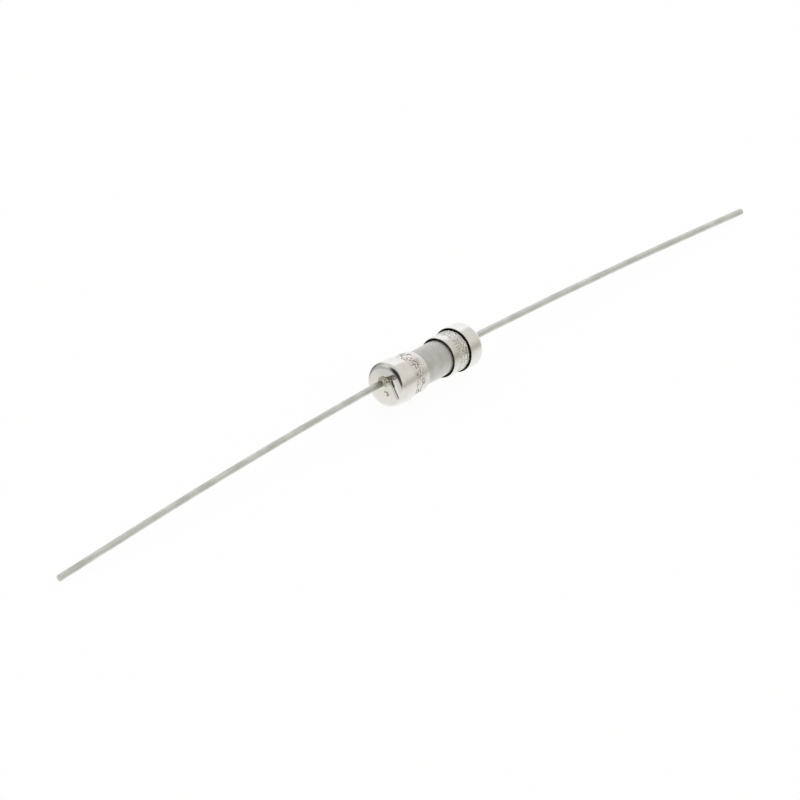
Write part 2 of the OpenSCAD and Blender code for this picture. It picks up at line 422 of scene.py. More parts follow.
weld_metal = mottled("weld metal", 1.0, clean=(0.92, 0.905, 0.8), tarnished=(0.38, 0.36, 0.28),
                     blotches=5000.0, amount=1.0, rough=(0.36, 0.56), depth=0.00002,
                     fineness=9000.0)

# %% [markdown]
# ### What the tube hides
#
# Nothing shows of the solder, the glass core and the fuse wire wound on it until the fuse is cut
# open, but a model may be, so they have their finishes too. They are made as the weld's is.

# %% Solder, glass fibre and fuse wire
inner_metal = {"metallic": 1.0, "blotches": 1500.0, "amount": 0.8, "depth": 0.000003,
               "fineness": 6000.0}
solder_metal = mottled("solder", clean=(0.62, 0.62, 0.60), tarnished=(0.45, 0.45, 0.44),
                       rough=(0.2, 0.35), **inner_metal)
fuse_metal = mottled("fuse wire", clean=(0.68, 0.66, 0.60), tarnished=(0.52, 0.50, 0.44),
                     rough=(0.25, 0.4), **inner_metal)
glass = mottled("glass fibre", 0.0, clean=(0.82, 0.79, 0.70), tarnished=(0.68, 0.64, 0.54),
                blotches=4000.0, amount=0.7, rough=(0.6, 0.8), depth=0.000006,
                fineness=20000.0, stretch=(0.1, 1.0, 1.0), Sheen_Weight=0.3)

# %% [markdown]
# ## Turned forms
#
# Caps and tube are round, so each is the outline of one side turned about the axis. A cylinder
# with bevelled edges would do for a plain cap, but an outline gives each corner, flare and rim a
# shape of its own. It is a list of points, along the axis and out from it, put together from
# straight stretches and round corners. Many close steps keep the reflections smooth, and marks
# that are pressed in later need points close enough together to take them. No real cap is quite
# straight: the face of a lead cap is slightly domed, and the mouth of a contact cap is drawn in
# towards the tube.

# %% Straight stretches and round corners
def straight(start, end, step):
    """Points from start nearly to end, no more than a step apart."""
    start, end = Vector(start), Vector(end)
    count = max(1, math.ceil((end - start).length / step))
    return [tuple(start.lerp(end, i / count)) for i in range(count)]


def corner(middle, radius, start, end, count):
    """Points on a round corner, from one angle in degrees nearly to another."""
    angles = [math.radians(start + (end - start) * i / count) for i in range(count)]
    return [(middle[0] + radius * math.cos(a), middle[1] + radius * math.sin(a)) for a in angles]


# %% The outline of a cap
outer_corner_points = 28
small_corner_points = 6
flare_step = 0.1
inside_step = 0.5


def cap_outline(end_x, rim_x, outer_r, wall, corner_r, flare_l, face_step, side_step,
                dome=0.0, narrowing=0.0):
    """A drawn cap from the middle of its face, round its rim and back to the axis inside.

    dome is how far the face falls back from its middle to its rounded edge, and narrowing is
    how far the mouth is drawn in."""
    bore_r = outer_r - wall
    round_r = corner_r + wall
    round_x = end_x - dome - round_r
    lip_r = outer_r - narrowing - lip_t
    inner_x = end_x - wall
    face_r = outer_r - round_r
    flat_face = straight((end_x, 0), (end_x, face_r), face_step)
    points = [(x - dome * (r / face_r) ** 2, r) for x, r in flat_face]
    points += corner((round_x, face_r), round_r, 0, 90, outer_corner_points)
    side = straight((round_x, outer_r), (rim_x + rim_r, outer_r), side_step)
    points += [(x, r - narrowing * max(0, 1 - (x - rim_x) / narrowing_l) ** 2) for x, r in side]
    rim_top = outer_r - narrowing - rim_r
    points += corner((rim_x + rim_r, rim_top), rim_r, 90, 180, small_corner_points)
    points += straight((rim_x, rim_top), (rim_x, lip_r), lip_t)
    points += straight((rim_x, lip_r), (rim_x + flare_l, bore_r), flare_step)
    points += straight((rim_x + flare_l, bore_r), (inner_x - corner_r, bore_r), inside_step)
    points += corner((inner_x - corner_r, bore_r - corner_r), corner_r, 90, 0,
                     small_corner_points)
    points += straight((inner_x, bore_r - corner_r), (inner_x, 0), inside_step)
    return points + [(inner_x, 0)]


# %% Turning an outline
on_axis = 1e-6
wobble_fineness = 1.1


def smooth(mesh):
    """Shades a mesh smooth, all but its sharp edges."""
    mesh.shade_smooth()
    mesh.set_sharp_from_angle(angle=math.radians(50))


def turned_mesh(name, outline, around, side=1, wobble=0.0):
    """Turns an outline about the axis. side is -1 for a piece at the left-hand end, and wobble
    is how uneven the piece is, in millimetres."""
    shape = bmesh.new()
    rings = []
    for x, r in outline:
        count = around if r > on_axis else 1
        ring = []
        for i in range(count):
            angle = 2 * math.pi * i / around
            spot = Vector((side * x, r * math.cos(angle), r * math.sin(angle)))
            swell = 1 + wobble * noise.noise(spot * wobble_fineness) / max(r, 1)
            ring.append(shape.verts.new((spot.x, spot.y * swell, spot.z * swell)))
        rings.append(ring)
    for ring, following in zip(rings, rings[1:]):
        for i in range(around):
            j = (i + 1) % around
            quad = [ring[i % len(ring)], ring[j % len(ring)],
                    following[j % len(following)], following[i % len(following)]]
            shape.faces.new(dict.fromkeys(quad))
    if rings[0][0] is not rings[-1][0] and len(rings[0]) > 1:
        for i in range(around):
            j = (i + 1) % around
            shape.faces.new((rings[-1][i], rings[-1][j], rings[0][j], rings[0][i]))
    bmesh.ops.recalc_face_normals(shape, faces=shape.faces)
    mesh = bpy.data.meshes.new(name)
    shape.to_mesh(mesh)
    shape.free()
    smooth(mesh)
    return mesh


# %% [markdown]
# ## Pressed marks
#
# The caps carry marks: a band of stamped strokes round each contact cap, and a crease and a few
# scratches on the near lead cap. All of them are metal pushed down along a line, with a slight
# burr beside it. One geometry tree makes that from any set of lines: it measures how far each
# point of the cap lies from the nearest line, and sinks or lifts the point to suit. A tool never
# presses evenly, so a soft noise weakens the marks here and there, and the thin metal between
# close marks comes out rumpled. The tree also notes how dirty each point is, for the plating. A
# bump texture could fake all this, but pressed metal looks right from every side and stays in
# the mesh.

# %% Ending a geometry tree
def end_tree(tree, geometry, given, result):
    """Ends a geometry tree: what it made becomes real mesh and takes its material."""
    real = add_node(tree, "GeometryNodeRealizeInstances", Geometry=geometry)
    coated = add_node(tree, "GeometryNodeSetMaterial", Geometry=real.outputs[0],
                      Material=given["Material"])
    feed(tree, result["Geometry"], coated.outputs[0])
    print(f"{tree.name}: {len(tree.nodes)} nodes")


# %% The tree that presses lines into a surface
press_tree, given, result = new_tree(
    "Press lines into a surface", "Geometry",
    [("Geometry", "Geometry", None), ("Lines", "Object", None), ("Width", "Float", 0.06),
     ("Depth", "Float", 0.03), ("Burr", "Float", 0.008), ("Rumple", "Float", 0.0),
     ("Weakest", "Float", 1.0), ("Dirt", "Float", 1.0), ("Material", "Material", None)],
    [("Geometry", "Geometry")])
tree = press_tree
lines = add_node(tree, "GeometryNodeObjectInfo", Object=given["Lines"])
nearest = add_node(tree, "GeometryNodeProximity", {"target_element": "EDGES"})
feed(tree, nearest.inputs[0], lines.outputs["Geometry"])
distance = nearest.outputs["Distance"]

# %% How hard each point is pressed
where = add_node(tree, "GeometryNodeInputPosition").outputs[0]
force = add_node(tree, "ShaderNodeTexNoise", Vector=where, Scale=1.7, Detail=1.0)
force = ramp_between(tree, force.outputs["Fac"], start=0.38, end=0.62, low=given["Weakest"])
pressed = ramp_between(tree, distance, given["Width"], 0.0)
burr_start = calculate(tree, "MULTIPLY", given["Width"], 2.0)
burr = ramp_between(tree, distance, burr_start, given["Width"])
burr = calculate(tree, "SUBTRACT", burr, pressed)
pressed = calculate(tree, "MULTIPLY", pressed, force)
down = calculate(tree, "MULTIPLY", pressed, given["Depth"])
burr = calculate(tree, "MULTIPLY", burr, force)
up = calculate(tree, "MULTIPLY", burr, given["Burr"])

# %% How far each point moves
bumps = add_node(tree, "ShaderNodeTexNoise", Vector=where, Scale=4.5, Detail=2.0)
bumps = calculate(tree, "SUBTRACT", bumps.outputs["Fac"], 0.5)
close = ramp_between(tree, distance, start=0.3, end=0.05)
bumps = calculate(tree, "MULTIPLY", bumps, calculate(tree, "MULTIPLY", close, force))
up = calculate(tree, "MULTIPLY_ADD", bumps, given["Rumple"], up)
lift = calculate(tree, "SUBTRACT", up, down)
normal = add_node(tree, "GeometryNodeInputNormal").outputs[0]
offset = add_node(tree, "ShaderNodeVectorMath", {"operation": "SCALE"}, Scale=lift)
feed(tree, offset.inputs[0], normal)

# %% How dirty each point gets, and the end of the tree
older = add_node(tree, "GeometryNodeInputNamedAttribute", {"data_type": "FLOAT"},
                 Name="pressed").outputs["Attribute"]
dirty = calculate(tree, "MULTIPLY", pressed, given["Dirt"])
stored = add_node(tree, "GeometryNodeStoreNamedAttribute",
                  {"data_type": "FLOAT", "domain": "POINT"}, Geometry=given["Geometry"],
                  Name="pressed", Value=calculate(tree, "MAXIMUM", dirty, older))
moved = add_node(tree, "GeometryNodeSetPosition", Geometry=stored.outputs[0],
                 Offset=offset.outputs[0])
end_tree(press_tree, moved.outputs[0], given, result)


# %% Running a geometry tree
def new_object(name, data):
    """An object in the scene, at the origin."""
    made = bpy.data.objects.new(name, data)
    bpy.context.scene.collection.objects.link(made)
    return made


def run_tree(name, data, tree, **inputs):
    """Runs a geometry tree on a mesh or a curve and returns the result as a plain mesh."""
    carrier = new_object(name, data)
    modifier = carrier.modifiers.new("tree", "NODES")
    modifier.node_group = tree
    for item in tree.interface.items_tree:
        label = item.name.replace(" ", "_")
        if item.in_out == "INPUT" and label in inputs:
            modifier[item.identifier] = inputs[label]
    evaluated = carrier.evaluated_get(bpy.context.evaluated_depsgraph_get())
    mesh = bpy.data.meshes.new_from_object(evaluated)
    mesh.name = name
    carrier.modifiers.remove(modifier)
    bpy.data.objects.remove(carrier)
    return mesh


def line_mesh(route):
    """Loose edges along a route of points."""
    mesh = bpy.data.meshes.new("line")
    mesh.from_pydata(route, [(i, i + 1) for i in range(len(route) - 1)], [])
    return mesh


def press(name, mesh, lines, material, **sizes):
    """Presses lines into a piece. They are in the scene only while the tree reads them."""
    lines = new_object("lines", lines)
    mesh = run_tree(name, mesh, press_tree, Lines=lines, Material=material, **sizes)
    bpy.data.objects.remove(lines)
    return mesh


# %% [markdown]
# ## The stamped strokes
#
# A roller stamps a band of short, plain strokes round each contact cap. They could be drawn one
# by one, but there are hundreds, so a tree scatters them: points round the band, and on each
# point a short line with its own length and slant, out of a fixed seed.

# %% The tree that lays strokes round a cap
stroke_tree, given, result = new_tree(
    "Strokes round a cap", "Geometry",
    [("Geometry", "Geometry", None), ("Strokes", "Int", 110), ("Radius", "Float", 1.64),
     ("Band Start", "Float", 2.4), ("Band End", "Float", 3.3), ("Shortest", "Float", 0.18),
     ("Longest", "Float", 0.5), ("Rows", "Int", 2), ("Seed", "Int", 1),
     ("Material", "Material", None)],
    [("Geometry", "Geometry")])


def chance(low, high, stream):
    """A random value for each stroke, the same on every run."""
    made = add_node(stroke_tree, "FunctionNodeRandomValue", {"data_type": "FLOAT"})
    feed(stroke_tree, made.inputs[2], low)
    feed(stroke_tree, made.inputs[3], high)
    feed(stroke_tree, made.inputs["Seed"], calculate(stroke_tree, "ADD", given["Seed"], stream))
    return made.outputs[1]


def rotation_about(axis, angle):
    """A turn by this angle about an axis."""
    return add_node(stroke_tree, "FunctionNodeAxisAngleToRotation", Axis=axis,
                    Angle=angle).outputs[0]


# %% Where each stroke lies
tree = stroke_tree
index = add_node(tree, "GeometryNodeInputIndex").outputs[0]
turn = calculate(tree, "DIVIDE", index, given["Strokes"])
turn = calculate(tree, "ADD", turn, chance(-0.006, 0.006, stream=0))
turn = calculate(tree, "MULTIPLY", turn, 2 * math.pi)
place = add_node(tree, "ShaderNodeCombineXYZ")
row = calculate(tree, "MODULO", index, given["Rows"])
row = calculate(tree, "ADD", row, chance(0.3, 0.7, stream=10))
row = calculate(tree, "DIVIDE", row, given["Rows"])
width = calculate(tree, "SUBTRACT", given["Band End"], given["Band Start"])
feed(tree, place.inputs["X"],
     calculate(tree, "MULTIPLY_ADD", row, width, given["Band Start"]))
for axis, operation in (("Y", "COSINE"), ("Z", "SINE")):
    reach = calculate(tree, operation, turn)
    reach = calculate(tree, "MULTIPLY", reach, given["Radius"])
    feed(tree, place.inputs[axis], reach)
points = add_node(tree, "GeometryNodePoints", Count=given["Strokes"],
                  Position=place.outputs[0])

# %% How each stroke slants, and how long it is
stroke = add_node(tree, "GeometryNodeMeshLine", Count=5, Start_Location=(-0.5, 0.0, 0.0),
                  Offset=(0.25, 0.0, 0.0))
eighth_turns = calculate(tree, "FLOOR", chance(0.0, 3.999, stream=20))
slant = calculate(tree, "MULTIPLY", eighth_turns, math.radians(45))
slant = calculate(tree, "ADD", slant, chance(-0.2, 0.2, stream=30))
laid = add_node(tree, "FunctionNodeRotateRotation", {"rotation_space": "GLOBAL"},
                Rotation=rotation_about((0.0, 1.0, 0.0), slant),
                Rotate_By=rotation_about((1.0, 0.0, 0.0), turn))
length = chance(given["Shortest"], given["Longest"], stream=40)
spread = add_node(tree, "GeometryNodeInstanceOnPoints", Points=points.outputs[0],
                  Instance=stroke.outputs[0], Rotation=laid.outputs[0], Scale=length)
end_tree(stroke_tree, spread.outputs[0], given, result)

# %% [markdown]
# ## The contact caps
#
# A contact cap is a drawn cup that closes the end of the tube and leads the current to the fuse
# wire. Each is turned from its outline, and the strokes are pressed into its side. The band
# leaves a smooth strip at the rim, as the roller does, and ends just short of the lead cap.
# The left band is finer than the right one and holds more dirt.

# %% Making a piece of a mesh
def make_piece(name, mesh, material, node):
    """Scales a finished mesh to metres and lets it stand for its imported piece."""
    mesh.transform(Matrix.Scale(MM, 4))
    mesh.materials.clear()
    mesh.materials.append(material)
    piece = new_object(name, mesh)
    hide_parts(node)
    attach(piece, "root")
    triangles = sum(len(face.vertices) - 2 for face in mesh.polygons)
    print(f"{name}: {triangles} triangles")
    return piece


# %% The contact caps
stamps = {"left": {"Seed": 3, "Strokes": 190, "Rows": 4, "Shortest": 0.12, "Longest": 0.4,
                   "Band_Start": contact_rim_x + 0.55, "Band_End": lead_rim_x - 0.2},
          "right": {"Seed": 8, "Strokes": 156, "Rows": 3,
                    "Band_Start": contact_rim_x + 0.65, "Band_End": lead_rim_x - 0.15}}
force = {"left": {"Rumple": 0.05, "Weakest": 0.3, "Dirt": 1.0},
         "right": {"Rumple": 0.06, "Weakest": 0.7, "Dirt": 0.7}}
ends = ((-1, "left"), (1, "right"))
to_left = Matrix.Scale(-1, 4, (1, 0, 0))
for side, word in ends:
    outline = cap_outline(contact_end_x, contact_rim_x, contact_r, contact_wall, contact_corner_r,
                          contact_flare_l, face_step=0.2, side_step=0.024,
                          narrowing=contact_narrowing)
    blank = turned_mesh(f"{word}_contact_cap", outline, around=448, side=side, wobble=0.004)
    strokes = run_tree("strokes", bpy.data.meshes.new("nothing"), stroke_tree,
                       Radius=contact_r, Material=contact_nickel, **stamps[word])
    if side < 0:
        strokes.transform(to_left)
    mesh = press(f"{word}_contact_cap", blank, strokes, contact_nickel, Width=0.085, Depth=0.018,
                 Burr=0.004, **force[word])
    make_piece(f"{word}_contact_cap", mesh, contact_nickel, f"contact_cap_{word}")

# %% [markdown]
# ## The lead caps
#
# The lead caps are shorter and wider cups, pressed over the contact caps. They are turned in the
# same way, with close steps on the face, because the marks there need them. The left cap has
# been handled: a crease runs down its face from beside the weld, in a shallow dent of its own, a
# small scratch and a smudge lie near it, and its side is rubbed. Each mark is a short route of
# points, given one by one, so it is easy to move.

# %% The lead caps
def on_face(side, *spots):
    """A route on the flat face of a lead cap, from pairs of y and z."""
    return [(side * face_x, y, z) for y, z in spots]


def on_side(side, *spots):
    """A route on the round side of a lead cap, from pairs of a distance along and an angle."""
    turns = [(x, math.radians(degrees)) for x, degrees in spots]
    return [(side * x, -lead_cap_r * math.cos(a), lead_cap_r * math.sin(a)) for x, a in turns]


crease = on_face(-1, (-0.55, 0.67), (-0.64, 0.52), (-0.81, 0.25), (-1.04, -0.17), (-1.27, -0.55))
dent = crease[1:]
crease_head = on_face(-1, (-0.49, 0.78), (-0.59, 0.61), (-0.7, 0.43), (-0.8, 0.27))
scratch = on_face(-1, (0.04, -0.45), (-0.2, -0.43), (-0.26, -0.54), (-0.37, -0.63), (-0.2, -0.7))
smudge = on_face(-1, (-0.7, 0.84), (-0.84, 0.9), (-0.98, 0.98))
rub = on_side(-1, (4.7, 69), (4.3, 68), (3.9, 68), (3.75, 65))
# Each mark: its route, width, depth, burr and dirt
wear = {"left": [(crease, 0.08, 0.025, 0.0, 0.6), (crease_head, 0.2, 0.02, 0.0, 1.0),
                 (dent, 0.3, 0.02, 0.0, 0.0), (scratch, 0.07, 0.02, 0.004, 0.9),
                 (rub, 0.06, 0.01, 0.004, 0.5), (smudge, 0.1, 0.004, 0.0, 0.5)],
        "right": []}
for side, word in ends:
    outline = cap_outline(face_x, lead_rim_x, lead_cap_r, lead_cap_wall, lead_corner_r,
                          lead_flare_l, face_step=0.03, side_step=0.035, dome=face_dome)
    mesh = turned_mesh(f"{word}_lead_cap", outline, around=384, side=side, wobble=0.004)
    for route, width, depth, burr, dirt in wear[word]:
        mesh = press(f"{word}_lead_cap", mesh, line_mesh(route), lead_nickel, Width=width,
                     Depth=depth, Burr=burr, Dirt=dirt)
    make_piece(f"{word}_lead_cap", mesh, lead_nickel, f"lead_cap_{word}")

# %% [markdown]
# ## The ceramic tube
#
# The tube is a plain ring: a bore, an outside, and a small chamfer at each end. A cylinder with a
# hole cut through it would serve, but turning it leaves clean rows of faces for a smooth shine. A
# tube is pressed and fired, so it is ever so slightly uneven.

# %% The ceramic tube
chamfer_x = tube_end_x - tube_chamfer
chamfer_r = tube_r - tube_chamfer
corners = [(tube_end_x, tube_bore_r), (tube_end_x, chamfer_r), (chamfer_x, tube_r),
           (-chamfer_x, tube_r), (-tube_end_x, chamfer_r), (-tube_end_x, tube_bore_r)]
end_step, chamfer_step, side_step = 0.2, 0.06, 0.08
steps = (end_step, chamfer_step, side_step, chamfer_step, end_step, inside_step)
outline = []
for start, end, step in zip(corners, corners[1:] + corners[:1], steps):
    outline += straight(start, end, step)
make_piece("tube", turned_mesh("tube", outline, around=256, wobble=0.003), ceramic,
           "ceramic_tube")

# %% [markdown]
# ## The leads
#
# A lead leaves its weld almost level and droops in one long bend until its straight tip touches
# the table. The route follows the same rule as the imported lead: the length is fixed, and the tilt
# of the tip is found by halving a range again and again. A curve with a round bevel would give a
# wire too. Here a geometry tree sweeps it along the route, because the tree also makes it a
# little uneven, as wire is that has been bundled and straightened.

# %% The route of a lead
lead_l = 38.0
weld_h = 0.38
tip_l = 8.0
root_tilt = math.radians(1)
tip_round = 0.05
least_bend = 1e-4
steepest_tilt = math.radians(30)
halvings = 50
bend_points, tip_points, round_points = 60, 16, 8
aside = {"left": 0.15, "right": 0.25}
rise = {"left": 0.3, "right": 0.0}


def bend_radius(tilt):
    """The long bend takes what the weld and the straight tip leave of the lead."""
    return (lead_l - weld_h - tip_l) / (tilt - root_tilt)


def tip_drop(tilt):
    """How far the underside of the tip lies below the weld."""
    drop = bend_radius(tilt) * (math.cos(root_tilt) - math.cos(tilt))
    return drop + tip_l * math.sin(tilt) + lead_r * math.cos(tilt)


def tip_tilt(drop):
    """The tilt at which the tip drops just this far."""
    low, high = root_tilt + least_bend, steepest_tilt
    for _ in range(halvings):
        middle = (low + high) / 2
        low, high = (low, middle) if tip_drop(middle) > drop else (middle, high)
    return middle


for word in ("left", "right"):
    print(f"{word} tip tilted by {math.degrees(tip_tilt(rise[word] - floor_z)):.2f} degrees")

# %% The points of a route
def lead_route(height, across, side):
    """Points from the cap's face to the tip, and how thick the wire is at each of them."""
    tilt = tip_tilt(height - floor_z)
    bend = bend_radius(tilt)
    route = [(face_x, height), (face_x + weld_h, height)]
    for i in range(1, bend_points + 1):
        angle = root_tilt + (tilt - root_tilt) * i / bend_points
        route.append((face_x + weld_h + bend * (math.sin(angle) - math.sin(root_tilt)),
                      height - bend * (math.cos(root_tilt) - math.cos(angle))))
    bend_x, bend_z = route[-1]
    before_tip = [i * (tip_l - tip_round) / tip_points for i in range(1, tip_points + 1)]
    quarter_circle = [i * math.pi / (2 * round_points) for i in range(1, round_points + 1)]
    round_tip = [tip_l - tip_round * (1 - math.sin(angle)) for angle in quarter_circle]
    for out in before_tip + round_tip:
        route.append((bend_x + out * math.cos(tilt), bend_z - out * math.sin(tilt)))
    thick = [1.0] * (len(route) - round_points)
    thick += [1 - tip_round / lead_r * (1 - math.cos(angle)) for angle in quarter_circle]
    return [(side * x, across, z) for x, z in route], thick


# %% The tree that sweeps a wire
wire_tree, given, result = new_tree(
    "Drawn wire", "Geometry",
    [("Geometry", "Geometry", None), ("Radius", "Float", 0.25), ("Facets", "Int", 32),
     ("Unevenness", "Float", 0.02), ("Material", "Material", None)],
    [("Geometry", "Geometry")])
where = add_node(wire_tree, "GeometryNodeInputPosition").outputs[0]
swell = add_node(wire_tree, "ShaderNodeTexNoise", Vector=where, Scale=0.6, Detail=1.0)
swell = calculate(wire_tree, "SUBTRACT", swell.outputs["Fac"], 0.5)
swell = calculate(wire_tree, "MULTIPLY_ADD", swell, given["Unevenness"], 1.0)
old_radius = add_node(wire_tree, "GeometryNodeInputRadius").outputs[0]
thickness = add_node(wire_tree, "GeometryNodeSetCurveRadius", Curve=given["Geometry"],
                     Radius=calculate(wire_tree, "MULTIPLY", swell, old_radius))
ring = add_node(wire_tree, "GeometryNodeCurvePrimitiveCircle", Resolution=given["Facets"],
                Radius=given["Radius"])
swept = add_node(wire_tree, "GeometryNodeCurveToMesh", Curve=thickness.outputs[0],
                 Profile_Curve=ring.outputs[0], Fill_Caps=True)
end_tree(wire_tree, swept.outputs[0], given, result)


# %% The leads
def route_curve(name, route, thick):
    """A curve of one open run of points, each with its own thickness."""
    curve = bpy.data.curves.new(name, "CURVE")
    curve.dimensions = "3D"
    spline = curve.splines.new("POLY")
    spline.points.add(len(route) - 1)
    for point, spot, size in zip(spline.points, route, thick):
        point.co = (*spot, 1.0)
        point.radius = size
    return curve


for side, word in ends:
    route, thick = lead_route(rise[word], aside[word], side)
    mesh = run_tree(f"{word}_lead", route_curve("route", route, thick), wire_tree,
                    Radius=lead_r, Material=tinned)
    smooth(mesh)
    print(f"{word} lead: tip at x = {route[-1][0]:.2f}, z = {route[-1][2]:.2f}")
    make_piece(f"{word}_lead", mesh, tinned, f"lead_wire_{word}")

# %% [markdown]
# ## The welds
#
# A lead is butted against the face and a current melts the two together. What is pushed out
# freezes round the lead as a low, hollowed collar, further out on one side than on the other. The
# collar is turned like the caps, then stretched by how far it reaches in each direction, and each
# point is pushed out by the lumps near it and by a fine noise. It could be sculpted by hand, but
# this way the same weld comes out on every run. Inside, where the wire hides it, the collar
# closes below the skin of the lead.

# %% The outline of a weld
weld_r = 0.48
weld_edge = 0.04
weld_top = 0.02
weld_inner_r = 0.12
hollow = 2.4
hollow_points = 20
foot_step = 0.04
closing_step = 0.1
below_top = 0.01
below_skin = 0.03


def weld_outline():
    """From the foot on the cap's face up the hollow side to the lead, and down inside it."""
    points = straight((0.0, weld_inner_r), (0.0, weld_r), foot_step)
    for i in range(hollow_points + 1):
        t = i / hollow_points
        points.append((weld_edge + (weld_h - weld_edge) * t ** hollow,
                       weld_r + (lead_r + weld_top - weld_r) * math.sqrt(t)))
    return points + straight((weld_h - below_top, lead_r - below_skin), (0.0, weld_inner_r),
                             closing_step)


# %% The stretch and the lumps of a weld
lump_spread = 1.1
lean_out = 0.6
fine_lumps = ((0.035, 8), (0.02, 19))


def reach_toward(angle, reaches):
    """How far a weld reaches in this direction, from its reach every 45 degrees."""
    place = (angle % (2 * math.pi)) / (2 * math.pi) * len(reaches)
    i, share = int(place), place % 1
    share = (1 - math.cos(math.pi * share)) / 2
    return reaches[i % len(reaches)] * (1 - share) + reaches[(i + 1) % len(reaches)] * share


def weld_mesh(name, reaches, lumps, seed):
    """Each lump has a direction round the lead in degrees, and how far out, how high and how
    large it is."""
    mesh = turned_mesh(name, weld_outline(), around=128)
    middles = [Vector((height, out * math.cos(math.radians(a)), out * math.sin(math.radians(a))))
               for a, out, height, size in lumps]
    for vertex in mesh.vertices:
        spot = vertex.co.copy()
        out = spot.yz.length
        if out < lead_r:
            continue
        reach = reach_toward(math.atan2(spot.z, spot.y), reaches)
        out = lead_r + (out - lead_r) * (reach - lead_r) / (weld_r - lead_r)
        spot.yz = spot.yz.normalized() * out
        outward = Vector((lean_out, spot.y, spot.z)).normalized()
        push = sum(size * math.exp(-((spot - middle).length / (lump_spread * size)) ** 2)
                   for middle, (a, away, height, size) in zip(middles, lumps))
        for amount, fineness in fine_lumps:
            push += amount * noise.noise(spot * fineness + Vector((seed, 0, 0)))
        vertex.co = spot + outward * push
        vertex.co.x = max(vertex.co.x, 0.0)
    return mesh


# %% The welds
weld_reaches = {"left": (0.48, 0.48, 0.47, 0.6, 0.64, 0.4, 0.34, 0.42),
                "right": (0.42, 0.45, 0.5, 0.46, 0.42, 0.5, 0.52, 0.44)}
weld_lumps = {
    "left": ((165, 0.42, 0.05, 0.1), (130, 0.4, 0.05, 0.1), (190, 0.45, 0.05, 0.08),
             (75, 0.36, 0.06, 0.07), (20, 0.38, 0.05, 0.07)),
    "right": ((110, 0.4, 0.08, 0.12), (248, 0.4, 0.08, 0.1), (25, 0.38, 0.06, 0.08),
              (320, 0.38, 0.05, 0.08)),
}
weld_seeds = {"left": 5.0, "right": 11.0}
for side, word in ends:
    mesh = weld_mesh(f"{word}_weld", weld_reaches[word], weld_lumps[word], weld_seeds[word])
    if side < 0:
        mesh.transform(to_left)
        mesh.flip_normals()
    mesh.transform(Matrix.Translation((side * face_x, aside[word], rise[word])))
    make_piece(f"{word}_weld", mesh, weld_metal, f"weld_bead_{word}")

# %% [markdown]
# ## Inside the tube
#
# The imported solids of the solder, the core and the wound wire have the right form, so they stay
# and only take their finishes.

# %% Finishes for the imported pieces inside
inner = {"end_solder_left": solder_metal, "end_solder_right": solder_metal,
         "element_core": glass, "fuse_element": fuse_metal}
for node, material in inner.items():
    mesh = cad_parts[node].data
    mesh.materials.clear()
    mesh.materials.append(material)
    print(node, "takes", material.name)

# %% [markdown]
# ## The surroundings
#
# The fuse lies on a white table in a white tent. In the metal the tent shows as a pale room with
# one brighter side, a darker band where the tent ends near the table, and a dark opening beyond
# the left-hand end, which draws the black arc on the near cap. The camera sees plain white in
# place of all that, because the world asks which kind of ray it is lighting. The metal doesn't:
# mirroring nothing but white, it would lose its form. Lamps and cards could stand for the tent,
# but soft patches in the world have no hard edges for the metal to mirror.

# %% Helpers for the world
def toward(azimuth, elevation):
    """A direction from its compass angle, counted from +X towards +Y, and its height."""
    a, e = math.radians(azimuth), math.radians(elevation)
    return Vector((math.cos(a) * math.cos(e), math.sin(a) * math.cos(e), math.sin(e)))


def patch(tree, direction, azimuth, elevation, full, fade):
    """1 within the full angle round a direction, fading to 0 at the fade angle."""
    match = add_node(tree, "ShaderNodeVectorMath", {"operation": "DOT_PRODUCT"})
    feed(tree, match.inputs[0], direction)
    match.inputs[1].default_value = toward(azimuth, elevation)
    return ramp_between(tree, match.outputs["Value"], math.cos(math.radians(fade)),
                        math.cos(math.radians(full)))


# %% The bands of the tent
world = bpy.data.worlds.new("white tent")
bpy.context.scene.world = world
world.use_nodes = True
tree = world.node_tree
tree.nodes.clear()
direction = tree.nodes.new("ShaderNodeTexCoord").outputs["Generated"]
height = add_node(tree, "ShaderNodeSeparateXYZ", Vector=direction).outputs["Z"]
up_share = ramp_between(tree, height, -1.0, 1.0)
up_share.node.interpolation_type = "LINEAR"
bands = add_node(tree, "ShaderNodeValToRGB", Fac=up_share)
# How bright the tent is at each height in degrees, and its tint there
levels = [(-90, (1.07, 1.07, 1.06)), (-38, (0.98, 0.98, 0.965)), (-28, (0.96, 0.96, 0.935)),
          (-18, (0.9, 0.9, 0.855)), (-11, (0.8, 0.8, 0.745)), (-4, (0.6, 0.595, 0.54)),
          (3, (0.56, 0.555, 0.5)), (9, (0.66, 0.65, 0.59)), (15, (0.77, 0.755, 0.695)),
          (26, (0.83, 0.815, 0.765)), (50, (0.81, 0.8, 0.77)), (90, (0.7, 0.7, 0.69))]
while len(bands.color_ramp.elements) < len(levels):
    bands.color_ramp.elements.new(0.5)
for element, (elevation, colour) in zip(bands.color_ramp.elements, levels):
    element.position = (1 + math.sin(math.radians(elevation))) / 2
    element.color = (*colour, 1.0)
light = bands.outputs["Color"]

